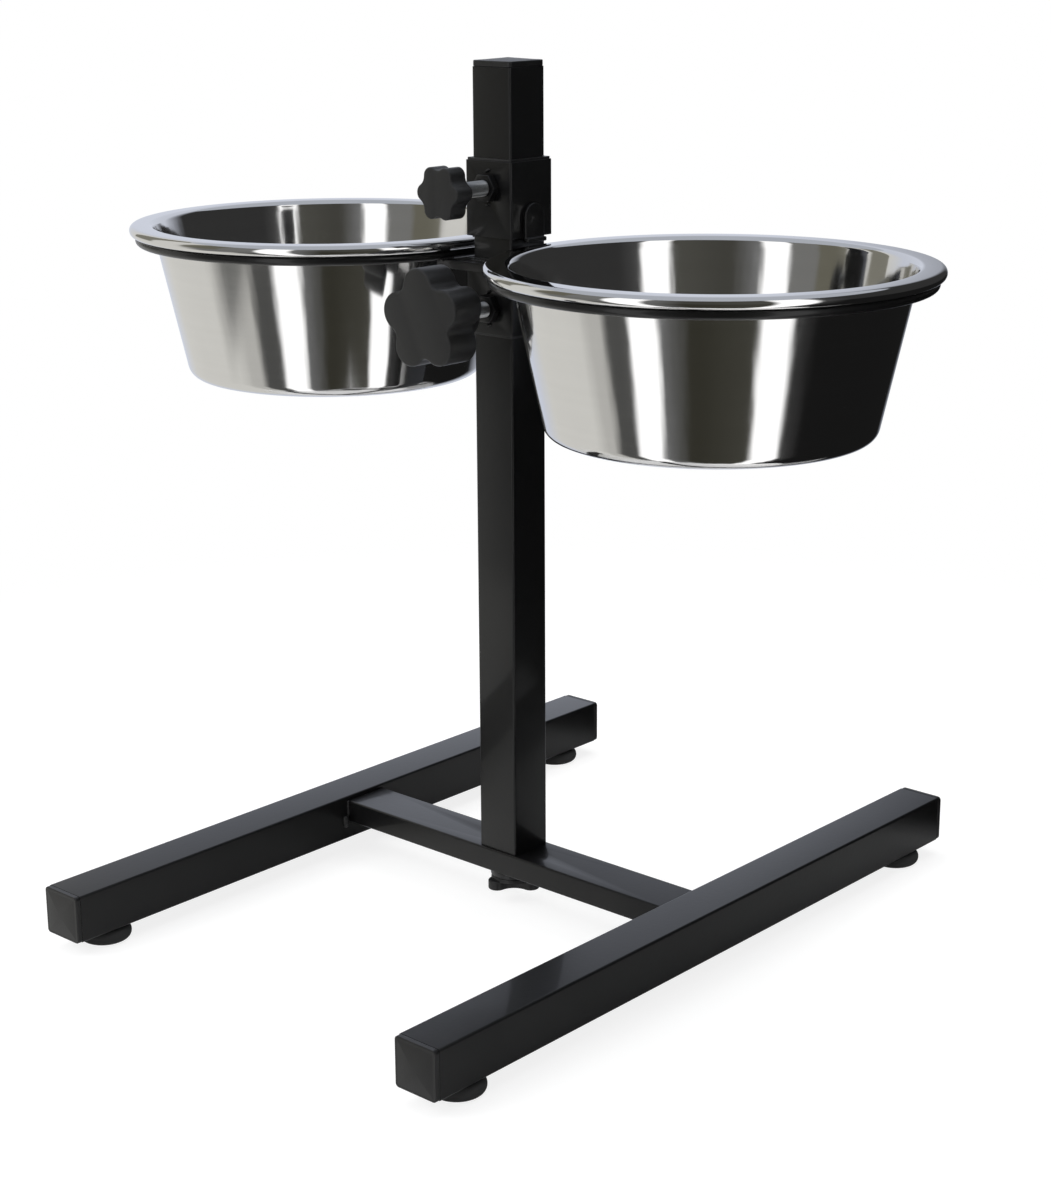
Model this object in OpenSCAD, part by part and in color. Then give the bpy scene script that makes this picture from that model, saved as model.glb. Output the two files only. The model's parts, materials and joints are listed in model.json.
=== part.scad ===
// Dog feeder stand: two lift-out bowls in welded rings, on a carriage that slides along a post.
// Millimetres, +Z up. The origin is on the floor, under the middle of the post.
// +X points to the right bowl, and -Y to the side of the clamp knobs.

/* [Square tube] */
// Outside width of the square tube of the legs and the post
tube_side = 25.4; // [20:0.1:40]
// Wall of the tubes of the base and the post
tube_wall = 1.5; // [1:0.1:2.5]
// Outside corner radius of the square tube
tube_corner = 1.2; // [0.6:0.1:5]

/* [Base] */
// Length of a leg's tube, without its end caps
leg_len = 406; // [250:1:600]
// Distance between the centre lines of the legs
leg_span = 254; // [180:1:400]
// Width of the crossbar, along the legs
bar_w = 27.8; // [20:0.1:40]
// Height of the crossbar
bar_h = 12.7; // [10:0.1:20]
// Outside corner radius of the crossbar
bar_corner = 1; // [0.6:0.1:4]
// Step from the legs' tops down to the crossbar's top
bar_drop = 2.4; // [0:0.1:8]

/* [End caps] */
// Thickness of a cap's flange
cap_flange = 3; // [1.5:0.1:6]
// Height of the four-sided crown on a cap
cap_rise = 1.2; // [0.5:0.1:4]
// Flat border around the crown
cap_border = 1.2; // [0.5:0.1:4]
// Depth of a cap's plug inside the tube
plug_len = 14; // [8:0.5:30]
// Height of the ribs around the plug
rib_h = 2.2; // [1:0.1:4]
// Thickness of a rib
rib_t = 1; // [0.6:0.1:2]
// Number of ribs along the plug
rib_count = 3; // [1:1:6]
// Wall of the hollow plug
plug_wall = 1.6; // [1:0.1:3]

/* [Feet] */
// Height of the legs above the floor
foot_h = 8.4; // [6:0.1:25]
// Diameter of a foot's disc
foot_d = 27.5; // [18:0.5:40]
// Height of the neck between a foot's disc and its leg
foot_neck_h = 1.2; // [0.5:0.1:4]
// Rounding of the disc's edge
foot_round = 3.2; // [0.5:0.1:3.3]
// Diameter of a foot's neck
foot_neck = 19; // [11:0.5:22]
// Distance from a leg tube's end to the middle of its foot
foot_inset = 24; // [20:1:80]
// Diameter of the stem that snaps into the leg
stem_d = 8; // [5:0.1:10]
// Radius of the snap bead around the stem
snap_r = 0.8; // [0.4:0.1:1.5]

/* [Post] */
// Length of the post's tube, without its cap
post_len = 410.6; // [300:0.1:700]
// Length of the threaded plug in the post's lower end
insert_len = 18; // [12:0.5:40]

/* [Screws] */
// Diameter of the screw studs
stud_d = 8; // [6:0.5:10]
// Room around a stud in a plain hole
stud_room = 0.5; // [0.3:0.1:1]
// Width of a weld nut across its flats
nut_af = 13; // [11:0.5:17]
// Thickness of a weld nut
nut_h = 4; // [3:0.1:10]
// Diameter of a stud's pressing tip
tip_d = 6; // [3:0.1:6]
// Length of a stud's pressing tip
tip_len = 3; // [1:0.1:4]
// Plastic in front of a stud's end inside its knob
knob_skin = 3; // [1.5:0.1:4]

/* [Carriage knob] */
// Diameter over the lobes
big_d = 51; // [40:0.5:70]
// Number of lobes
big_lobes = 5; // [3:1:7]
// Radius of a lobe's end
big_lobe_r = 9.6; // [7:0.1:12]
// Radius of the hollow between two lobes
big_hollow_r = 4.8; // [3:0.1:12]
// Turn of the star from a lobe that points to +X, seen from the front
big_turn = 25; // [0:1:71]
// Thickness of the star
big_t = 19; // [12:0.5:28]
// Rounding of the star's edges
big_edge = 2.9; // [1:0.1:5]
// Diameter of the hub
big_hub_d = 24; // [16:0.5:30]
// Length of the hub behind the star
big_hub_len = 11.5; // [4:0.5:20]
// Bare stud between the weld nut and the hub
big_bare = 15.3; // [4:0.1:25]

/* [Lock knob] */
// Diameter over the lobes
lock_d = 27.5; // [22:0.5:38]
// Number of lobes
lock_lobes = 6; // [5:1:8]
// Radius of a lobe's end
lock_lobe_r = 4.3; // [3:0.1:6]
// Radius of the hollow between two lobes
lock_hollow_r = 5.3; // [3:0.1:8]
// Rounding of the star's edges
lock_edge = 1.7; // [0.5:0.1:3]
// Thickness of the lock knob's star
lock_t = 8.5; // [7:0.5:16]
// Diameter of the lock knob's hub
lock_hub_d = 11.5; // [11:0.5:18]
// Length of the lock knob's hub
lock_hub_len = 7; // [2:0.5:12]
// Bare stud between the weld nut and the lock knob's hub
lock_bare = 16.9; // [5:0.1:25]

/* [Base knob] */
// Diameter over the lobes
foot_knob_d = 30.5; // [24:0.5:40]
// Number of lobes
foot_knob_lobes = 3; // [3:1:6]
// Radius of a lobe's end
foot_knob_lobe_r = 4.8; // [4:0.1:7]
// Radius of the hollow between two lobes
foot_knob_hollow_r = 8.6; // [7:0.1:14]
// Turn of the star from a lobe that points to +X, seen from above
foot_knob_turn = 12; // [0:1:119]
// Rounding of the star's edges
foot_knob_edge = 1.4; // [0.5:0.1:1.9]
// Thickness of the base knob's star
foot_knob_t = 5.3; // [4:0.1:9]
// Diameter of the base knob's hub
foot_knob_hub_d = 24; // [12:0.5:28]
// Length of the base knob's hub
foot_knob_hub_len = 1.7; // [1:0.1:5]
// Diameter of the spacer under the crossbar
spacer_d = 25; // [14:0.5:30]
// Thickness of the spacer under the crossbar
spacer_h = 3.5; // [2:0.1:7]

/* [Sleeves] */
// Height of a sleeve
sleeve_h = 37.4; // [30:0.1:70]
// Wall of a sleeve
sleeve_wall = 1.5; // [1:0.1:3]
// Outside corner radius of a sleeve
sleeve_corner = 1.2; // [0.6:0.1:6]
// Wall of the plastic liner inside a sleeve
liner_wall = 0.8; // [0.6:0.1:3]
// Height of the liner's lip on a sleeve's outer end
lip_h = 1.2; // [0.6:0.1:3]
// Distance from a sleeve's outer end to its clamp stud
stud_edge = 12.9; // [9:0.1:20]
// Free length of the post's tube above the upper sleeve
head_room = 45.1; // [10:0.1:120]
// Gap between the two sleeves
sleeve_gap = 11; // [9:0.5:60]

/* [Rings and arms] */
// Diameter of the ring rod
rod_d = 4.8; // [3:0.1:8]
// Width of an arm, away from its sleeve
arm_w = 5.8; // [4:0.1:12]
// Height of an arm
arm_h = 4.3; // [3:0.1:10]
// Length of an arm past the ring rod's middle
arm_over = 2.9; // [2.5:0.1:10]
// Step from the lower sleeve's top down to the arms' tops
arm_drop = 1.5; // [0:0.1:10]
// Depth of the saddle in an arm's top that holds the rod
saddle = 0.5; // [0.2:0.1:1.5]

/* [Bowls] */
// Outside diameter of the rim
rim_d = 216; // [160:1:300]
// Depth from the rim's top to the underside of the base
bowl_depth = 82; // [50:1:120]
// Thickness of the sheet
sheet = 0.8; // [0.5:0.1:1.5]
// Radius of the rolled bead on the rim
bead_r = 2.9; // [2:0.1:5]
// Width of the rim from its outside to the start of the inner bend
flange_w = 10; // [7:0.5:16]
// Radius of the bend between wall and rim
lip_r = 2.4; // [1:0.1:4]
// Lean of the wall from upright, in degrees
wall_lean = 12; // [0:0.5:25]
// Outside radius of the base's edge
base_round = 7.2; // [3:0.1:20]
// Step from the bead's middle in to the middle of the rod that carries it
seat_in = 2.4; // [0:0.1:4]
// Distance from a sleeve's side to the rim
rim_gap = 5; // [4:0.1:30]

/* [Bowl stops] */
// Width of a stop tab
tab_w = 14; // [8:0.1:24]
// Thickness of a stop tab
tab_t = 2.2; // [1.5:0.1:3.5]
// Height of a stop tab above the upper sleeve's lower edge
tab_h = 17; // [12:0.1:30]
// Clearance from a tab's toe to the rim
toe_gap = 1.2; // [0.5:0.1:2.4]

/* [Hidden] */
$fn = 64;
// Clearances: pieces pressed together, turning fits, sliding on the post, a stud's tip, a resting bowl
fit_gap = 0.05;
run_gap = 0.06;
slide_gap = 0.25;
press_gap = 0.3;
seat_gap = 0.3;
// Smallest inside corner radius of a tube, and the overshoot of a cut
min_corner = 0.3;
cut = 1;
// Lap of a sheet's straight stretch over the bends at its ends
lap = 0.01;
// Step from a knob's lobes out to the round blank that its edges follow
edge_grow = 0.4;
// Depth that a knob's hollows cut into its lobes, which leaves a faint edge between them
flank_edge = 0.1;
// Colours of the coating, the plastics, the zinc plating and the bowl steel
coat = [0.06, 0.06, 0.07];
plastic = [0.13, 0.13, 0.14];
dark_plastic = [0.08, 0.08, 0.09];
zinc = [0.68, 0.69, 0.70];
steel = [0.80, 0.80, 0.83];

// Inside width of the square tube and the corner radius of what plugs into it
tube_bore = tube_side - 2 * tube_wall;
plug_corner = max(tube_corner - tube_wall, min_corner) + min_corner;

// Heights of the legs and the crossbar, and the feet's and the post's places
leg_z = foot_h + tube_side / 2;
bar_top = foot_h + tube_side - bar_drop;
bar_bottom = bar_top - bar_h;
foot_y = leg_len / 2 - foot_inset;
foot_disc = foot_h - foot_neck_h;
post_top = bar_top + post_len;

// Sleeve across its faces, and the heights of both sleeves' lower ends
sleeve_bore = tube_side + 2 * (slide_gap + liner_wall + fit_gap);
sleeve_side = sleeve_bore + 2 * sleeve_wall;
sleeve_face = sleeve_side / 2;
upper_z = post_top - head_room - sleeve_h;
lower_z = upper_z - sleeve_gap - sleeve_h;
upper_stud_z = upper_z + sleeve_h - stud_edge;
lower_stud_z = lower_z + stud_edge;

// Clamp screws, measured out from the post's axis: tip, nut's front and the knobs' hub backs
tip_at = tube_side / 2 + press_gap;
nut_at = sleeve_face + nut_h;
big_back = nut_at + big_bare;
lock_back = nut_at + lock_bare;
big_front = big_back + big_hub_len + big_t;
lock_front = lock_back + lock_hub_len + lock_t;

// Base screw, from the spacer down to the knob's underside
spacer_z = bar_bottom - spacer_h;
foot_knob_z = spacer_z - seat_gap - foot_knob_hub_len - foot_knob_t;
base_stud_top = bar_top + insert_len - tip_len;

// Rings, from the rim that rests on them
bead_x = rim_d / 2 - bead_r;
ring_r = bead_x - seat_in;
bowl_x = sleeve_face + rim_gap + rim_d / 2;
arm_y = sleeve_face + arm_w / 2;
arm_top = lower_z + sleeve_h - arm_drop;
rod_z = arm_top - saddle + rod_d / 2;
rod_cross_x = bowl_x - sqrt(pow(ring_r, 2) - pow(arm_y, 2));
arm_len = 2 * (rod_cross_x + arm_over);
bead_rise = sqrt(pow(bead_r + rod_d / 2 + seat_gap, 2) - pow(seat_in, 2));
rim_top = rod_z + bead_rise + bead_r;

// Bowl section, from the rim's top: bend centre, outside wall's ends and base edge's centre
bend_x = rim_d / 2 - flange_w;
bend_z = -sheet - lip_r;
wall_top = [bend_x - lip_r * cos(wall_lean), bend_z + lip_r * sin(wall_lean)];
base_z = base_round - bowl_depth;
wall_low_z = base_z - base_round * sin(wall_lean);
wall_low = [wall_top[0] - (wall_top[1] - wall_low_z) * tan(wall_lean), wall_low_z];
base_x = wall_low[0] - base_round * cos(wall_lean);
through_wall = sheet * [cos(wall_lean), -sin(wall_lean)];
bead_end = -150;

// Toe of a stop tab, out from its sleeve
toe_len = rim_gap - toe_gap;

// Rectangle with round corners
module round_rect(w, d, r) {
    square([w - 2 * r, d], center = true);
    square([w, d - 2 * r], center = true);
    for (x = [-1, 1], y = [-1, 1])
        translate([x * (w / 2 - r), y * (d / 2 - r)]) circle(r);
}

// Section of a rectangular tube
module tube_section(w, d, r, wall) {
    difference() {
        round_rect(w, d, r);
        round_rect(w - 2 * wall, d - 2 * wall, max(r - wall, min_corner));
    }
}

// Pie slice that reaches past radius r
module sector(r, from, to) {
    steps = ceil((to - from) / 30);
    polygon(concat([[0, 0]], [
        for (i = [0 : steps])
            let (a = from + (to - from) * i / steps) 2 * r * [cos(a), sin(a)]
    ]));
}

// Strip of sheet bent around an arc
module arc_strip(r_out, r_in, from, to) {
    intersection() {
        difference() {
            circle(r_out);
            circle(r_in);
        }
        sector(r_out, from, to);
    }
}

// Half section of a disc with a round edge
module puck_section(r, t, edge) {
    square([r - edge, t]);
    translate([0, edge]) square([r, t - 2 * edge]);
    for (z = [edge, t - edge])
        translate([r - edge, z]) circle(edge);
}

// Outline of lobes and hollows that run into each other
module star(r, lobes, lobe_r, hollow_r) {
    half = 180 / lobes;
    ring = r - lobe_r;
    reach = ring * cos(half) + sqrt(pow(lobe_r + hollow_r, 2) - pow(ring * sin(half), 2));
    difference() {
        polygon([
            for (i = [0 : 2 * lobes - 1])
                (i % 2 == 0 ? ring : reach) * [cos(i * half), sin(i * half)]
        ]);
        for (i = [0 : lobes - 1])
            rotate((2 * i + 1) * half) translate([reach, 0]) circle(hollow_r + flank_edge);
    }
    for (i = [0 : lobes - 1])
        rotate(2 * i * half) translate([ring, 0]) circle(lobe_r);
}

// Star knob of a given outline, with its face at the bottom and its hub on top, bored for the stud
module star_knob(d, t, edge, hub_d, hub_len) {
    difference() {
        union() {
            intersection() {
                linear_extrude(t) children();
                rotate_extrude() puck_section(d / 2 + edge_grow, t, edge);
            }
            translate([0, 0, t]) cylinder(d = hub_d, h = hub_len);
        }
        translate([0, 0, knob_skin]) cylinder(d = stud_d + 2 * run_gap, h = t + hub_len);
    }
}

// Stud from its pressing tip up
module stud(len) {
    cylinder(d = tip_d, h = tip_len);
    translate([0, 0, tip_len]) cylinder(d = stud_d, h = len - tip_len);
}

// Places a screw at height z, with its own +Z pointing out to the front
module out_front(z) {
    translate([0, 0, z]) rotate([90, 0, 0]) children();
}

// Places a knob at height z with its face at a distance in front of the post's axis
module facing_front(z, at) {
    translate([0, -at, z]) rotate([-90, 0, 0]) children();
}

// Leg tube along Y with the holes for its feet
module leg() {
    color(coat) difference() {
        rotate([90, 0, 0]) linear_extrude(leg_len, center = true)
            tube_section(tube_side, tube_side, tube_corner, tube_wall);
        for (y = [-foot_y, foot_y])
            translate([0, y, -tube_side / 2 - cut])
                cylinder(d = stem_d + 2 * fit_gap, h = cut + tube_wall + cut);
    }
}

// Ribbed cap, with its flange on the tube's end and its plug below
module end_cap() {
    core = tube_bore - 2 * fit_gap - 2 * rib_h;
    crown = tube_side - 2 * cap_border;
    color(dark_plastic) {
        linear_extrude(cap_flange) round_rect(tube_side, tube_side, tube_corner);
        translate([0, 0, cap_flange]) rotate(45)
            cylinder(h = cap_rise, r1 = crown / sqrt(2), r2 = 0, $fn = 4);
        translate([0, 0, -plug_len]) linear_extrude(plug_len)
            tube_section(core, core, tube_corner, plug_wall);
        for (i = [0 : rib_count - 1])
            translate([0, 0, -plug_len * (i + 1) / (rib_count + 1)]) linear_extrude(rib_t)
                tube_section(core + 2 * rib_h, core + 2 * rib_h, plug_corner,
                    rib_h + plug_wall / 2);
    }
}

// Cap on a leg's end
module leg_cap(x_side, y_side) {
    translate([x_side * leg_span / 2, y_side * leg_len / 2, leg_z]) rotate([-90 * y_side, 0, 0])
        end_cap();
}

// Round foot with a stem that snaps into the leg
module foot(x_side, y_side) {
    stem_top = foot_h + tube_wall + fit_gap + 2 * snap_r;
    color(dark_plastic) translate([x_side * leg_span / 2, y_side * foot_y, 0]) rotate_extrude() {
        puck_section(foot_d / 2, foot_disc, min(foot_round, foot_disc / 2 - min_corner));
        square([foot_neck / 2, foot_h]);
        square([stem_d / 2, stem_top]);
        translate([stem_d / 2, stem_top - snap_r]) circle(snap_r);
    }
}

module left_leg() {
    translate([-leg_span / 2, 0, leg_z]) leg();
}

module right_leg() {
    translate([leg_span / 2, 0, leg_z]) leg();
}

// Flat tube welded between the legs, bored for the base stud
module crossbar() {
    color(coat) difference() {
        translate([0, 0, (bar_top + bar_bottom) / 2]) rotate([90, 0, 90])
            linear_extrude(leg_span - tube_side, center = true)
                tube_section(bar_w, bar_h, bar_corner, tube_wall);
        translate([0, 0, bar_bottom - cut])
            cylinder(d = stud_d + 2 * stud_room, h = bar_h + 2 * cut);
    }
}

module left_front_cap() leg_cap(-1, -1);
module left_rear_cap() leg_cap(-1, 1);
module right_front_cap() leg_cap(1, -1);
module right_rear_cap() leg_cap(1, 1);
module left_front_foot() foot(-1, -1);
module left_rear_foot() foot(-1, 1);
module right_front_foot() foot(1, -1);
module right_rear_foot() foot(1, 1);

module post() {
    color(coat) translate([0, 0, bar_top]) linear_extrude(post_len)
        tube_section(tube_side, tube_side, tube_corner, tube_wall);
}

module post_cap() {
    translate([0, 0, post_top]) end_cap();
}

// Threaded plug that the base stud draws down onto the crossbar
module post_insert() {
    side = tube_bore - 2 * fit_gap;
    color(zinc) translate([0, 0, bar_top]) difference() {
        linear_extrude(insert_len)
            round_rect(side, side, plug_corner);
        translate([0, 0, -cut]) cylinder(d = stud_d + 2 * run_gap, h = insert_len + 2 * cut);
    }
}

module base_spacer() {
    color(dark_plastic) translate([0, 0, spacer_z]) difference() {
        cylinder(d = spacer_d, h = spacer_h);
        translate([0, 0, -cut]) cylinder(d = stud_d + 2 * stud_room, h = spacer_h + 2 * cut);
    }
}

// Stud with its tip up in the post's threaded plug and its head end in the base knob
module base_stud() {
    color(zinc) translate([0, 0, base_stud_top]) mirror([0, 0, 1])
        stud(base_stud_top - foot_knob_z - knob_skin);
}

module base_knob() {
    color(plastic) translate([0, 0, foot_knob_z])
        star_knob(foot_knob_d, foot_knob_t, foot_knob_edge, foot_knob_hub_d, foot_knob_hub_len)
            rotate(foot_knob_turn)
                star(foot_knob_d / 2, foot_knob_lobes, foot_knob_lobe_r, foot_knob_hollow_r);
}

// Square sleeve from height z up, with a hole for the stud in its front wall
module sleeve(z, stud_z) {
    color(coat) difference() {
        translate([0, 0, z]) linear_extrude(sleeve_h)
            tube_section(sleeve_side, sleeve_side, sleeve_corner, sleeve_wall);
        out_front(stud_z) cylinder(d = stud_d + 2 * stud_room, h = sleeve_side);
    }
}

// Plastic liner with a lip over the sleeve's outer end, which is its upper end here
module liner(stud_height) {
    side = sleeve_bore - 2 * fit_gap;
    bore = side - 2 * liner_wall;
    corner = max(sleeve_corner - sleeve_wall, min_corner);
    color(dark_plastic) difference() {
        union() {
            linear_extrude(sleeve_h) round_rect(side, side, corner);
            translate([0, 0, sleeve_h]) linear_extrude(lip_h)
                round_rect(side + sleeve_wall, side + sleeve_wall, corner);
        }
        translate([0, 0, -cut]) linear_extrude(sleeve_h + lip_h + 2 * cut)
            round_rect(bore, bore, min_corner);
        out_front(stud_height) cylinder(d = stud_d + 2 * stud_room, h = sleeve_side);
    }
}

// Hex nut with chamfered corners on a sleeve's front face
module weld_nut(stud_z) {
    corner_r = nut_af / sqrt(3);
    color(coat) out_front(stud_z) translate([0, 0, sleeve_face]) difference() {
        intersection() {
            cylinder(r = corner_r, h = nut_h, $fn = 6);
            cylinder(r1 = corner_r + nut_h, r2 = nut_af / 2, h = corner_r + nut_h - nut_af / 2);
        }
        translate([0, 0, -cut]) cylinder(d = stud_d + 2 * run_gap, h = nut_h + 2 * cut);
    }
}

// Clamp stud from its tip at the post out to its end in the knob
module clamp_stud(stud_z, front) {
    color(zinc) out_front(stud_z) translate([0, 0, tip_at])
        stud(front - knob_skin - tip_at);
}

module lower_sleeve() sleeve(lower_z, lower_stud_z);

module lower_liner() {
    translate([0, 0, lower_z + sleeve_h]) mirror([0, 0, 1]) liner(sleeve_h - stud_edge);
}

module lower_nut() weld_nut(lower_stud_z);
module lower_stud() clamp_stud(lower_stud_z, big_front);

module lower_knob() {
    color(plastic) facing_front(lower_stud_z, big_front)
        star_knob(big_d, big_t, big_edge, big_hub_d, big_hub_len)
            rotate(-big_turn) star(big_d / 2, big_lobes, big_lobe_r, big_hollow_r);
}

// Closed ring of rod that carries a bowl's rim
module ring(x_side) {
    translate([x_side * bowl_x, 0, rod_z]) rotate_extrude()
        translate([ring_r, 0]) circle(d = rod_d);
}

// Flat bar welded across a side of the lower sleeve, with a saddle under each ring
module arm(y_side) {
    color(coat) difference() {
        translate([-arm_len / 2, y_side * arm_y - arm_w / 2, arm_top - arm_h])
            cube([arm_len, arm_w, arm_h]);
        ring(-1);
        ring(1);
    }
}

module front_arm() arm(-1);
module rear_arm() arm(1);
module left_ring() color(coat) ring(-1);
module right_ring() color(coat) ring(1);
module upper_sleeve() sleeve(upper_z, upper_stud_z);

module upper_liner() {
    translate([0, 0, upper_z]) liner(sleeve_h - stud_edge);
}

module upper_nut() weld_nut(upper_stud_z);
module upper_stud() clamp_stud(upper_stud_z, lock_front);

module upper_knob() {
    color(plastic) facing_front(upper_stud_z, lock_front)
        star_knob(lock_d, lock_t, lock_edge, lock_hub_d, lock_hub_len)
            star(lock_d / 2, lock_lobes, lock_lobe_r, lock_hollow_r);
}

// Bent strap on a sleeve's side: a round-topped plate whose toe turns out towards the rim
module tab() {
    color(coat) translate([sleeve_face, 0, upper_z]) intersection() {
        rotate([90, 0, 0]) linear_extrude(tab_w, center = true) {
            square([tab_t, tab_h]);
            translate([tab_t, -tab_t]) square([toe_len - tab_t, tab_t]);
            translate([tab_t, 0]) intersection() {
                circle(tab_t);
                translate([-tab_t, -tab_t]) square(tab_t);
            }
        }
        rotate([90, 0, 90]) linear_extrude(toe_len) {
            translate([-tab_w / 2, -tab_t]) square([tab_w, tab_t + tab_h - tab_w / 2]);
            translate([0, tab_h - tab_w / 2]) circle(d = tab_w);
        }
    }
}

module left_tab() mirror([1, 0, 0]) tab();
module right_tab() tab();

// Half section of a drawn bowl: base, base edge, wall, bend, flange and rolled bead
module bowl_section() {
    over = lap * [sin(wall_lean), cos(wall_lean)];
    low = wall_low - over;
    high = wall_top + over;
    translate([0, -bowl_depth]) square([base_x, sheet]);
    translate([base_x, base_z]) arc_strip(base_round, base_round - sheet, -90, -wall_lean);
    polygon([low, high, high - through_wall, low - through_wall]);
    translate([bend_x, bend_z]) arc_strip(lip_r + sheet, lip_r, 90, 180 - wall_lean);
    translate([bend_x, -sheet]) square([bead_x - bend_x, sheet]);
    translate([bead_x, -bead_r]) arc_strip(bead_r, bead_r - sheet, bead_end, 90);
}

module bowl(x_side) {
    color(steel) translate([x_side * bowl_x, 0, rim_top]) rotate_extrude() bowl_section();
}

module left_bowl() bowl(-1);
module right_bowl() bowl(1);

left_leg();
right_leg();
crossbar();
left_front_cap();
left_rear_cap();
right_front_cap();
right_rear_cap();
left_front_foot();
left_rear_foot();
right_front_foot();
right_rear_foot();
post();
post_cap();
post_insert();
base_spacer();
base_stud();
base_knob();
lower_sleeve();
lower_liner();
lower_nut();
lower_stud();
lower_knob();
front_arm();
rear_arm();
left_ring();
right_ring();
upper_sleeve();
upper_liner();
upper_nut();
upper_stud();
upper_knob();
left_tab();
right_tab();
left_bowl();
right_bowl();
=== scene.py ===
"""Looks of a dog feeder stand: two spun steel bowls that hang in rod rings on a black, clamped post.

Metres, +Z up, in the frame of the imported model: the origin lies on the floor under the post, +X points
to the right bowl and -Y to the side of the clamp knobs.
"""

import json
import logging
import math
from dataclasses import dataclass
from enum import Enum
from typing import Any

import bmesh
import bpy
from bmesh.types import BMEdge, BMesh, BMVert
from mathutils import Matrix, Vector

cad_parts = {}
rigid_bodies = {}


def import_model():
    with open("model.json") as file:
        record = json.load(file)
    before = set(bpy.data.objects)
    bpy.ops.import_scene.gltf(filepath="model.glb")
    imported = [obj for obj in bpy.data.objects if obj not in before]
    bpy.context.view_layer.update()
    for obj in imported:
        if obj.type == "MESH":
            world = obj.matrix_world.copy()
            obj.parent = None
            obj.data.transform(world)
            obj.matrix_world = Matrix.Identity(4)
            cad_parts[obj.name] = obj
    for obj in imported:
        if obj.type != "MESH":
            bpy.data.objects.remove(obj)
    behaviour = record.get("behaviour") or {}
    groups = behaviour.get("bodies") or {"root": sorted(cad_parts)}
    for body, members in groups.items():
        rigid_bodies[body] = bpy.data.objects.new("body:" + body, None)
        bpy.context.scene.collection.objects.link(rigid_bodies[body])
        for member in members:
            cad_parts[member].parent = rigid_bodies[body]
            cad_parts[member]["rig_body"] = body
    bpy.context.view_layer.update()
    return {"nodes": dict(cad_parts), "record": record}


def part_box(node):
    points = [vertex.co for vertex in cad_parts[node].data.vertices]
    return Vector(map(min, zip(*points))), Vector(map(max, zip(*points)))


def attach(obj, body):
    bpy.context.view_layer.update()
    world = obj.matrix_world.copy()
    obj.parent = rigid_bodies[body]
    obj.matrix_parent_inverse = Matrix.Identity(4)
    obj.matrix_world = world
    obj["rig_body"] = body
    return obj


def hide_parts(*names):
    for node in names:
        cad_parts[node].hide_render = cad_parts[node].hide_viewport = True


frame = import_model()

LOG = logging.getLogger("feeder_stand")
MM = 0.001
Colour = tuple[float, float, float]
Point = tuple[float, float, float] | Vector


class Facing(Enum):
    """Where a turned piece's own +Z points, as a rotation of the piece."""

    UP = Matrix.Identity(4)
    DOWN = Matrix.Rotation(math.pi, 4, "X")
    FRONT = Matrix.Rotation(math.pi / 2, 4, "X")
    REAR = Matrix.Rotation(-math.pi / 2, 4, "X")

    @property
    def out(self) -> Vector:
        """The direction itself."""
        return self.value.to_3x3() @ Vector((0.0, 0.0, 1.0))


class Side(Enum):
    """The side of the post that a bowl, its ring or a leg is on."""

    LEFT = "left"
    RIGHT = "right"


class Value:
    """A shader socket's value, which adds Math nodes when it stands in an expression."""

    def __init__(self, graph: "Graph", socket: bpy.types.NodeSocket) -> None:
        """Wraps one output socket.

        Args:
            graph: The node tree that the socket is in.
            socket: The output socket.
        """
        self.graph = graph
        self.socket = socket

    def math(self, operation: str, *others: Any) -> "Value":
        """One Math node on this value and others."""
        return self.graph.node("ShaderNodeMath", {"operation": operation}, dict(enumerate((self, *others))))

    def output(self, name: str) -> "Value":
        """Another output of the node that this value comes from."""
        return Value(self.graph, self.socket.node.outputs[name])

    def __add__(self, other: Any) -> "Value":
        """Sum."""
        return self.math("ADD", other)

    __radd__ = __add__

    def __mul__(self, other: Any) -> "Value":
        """Product."""
        return self.math("MULTIPLY", other)

    __rmul__ = __mul__

    def __sub__(self, other: Any) -> "Value":
        """Difference."""
        return self.math("SUBTRACT", other)

    def __rsub__(self, other: float) -> "Value":
        """Difference from a number."""
        return self * -1.0 + other

    def __truediv__(self, other: Any) -> "Value":
        """Quotient."""
        return self.math("DIVIDE", other)

    def __pow__(self, other: Any) -> "Value":
        """Power."""
        return self.math("POWER", other)


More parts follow.
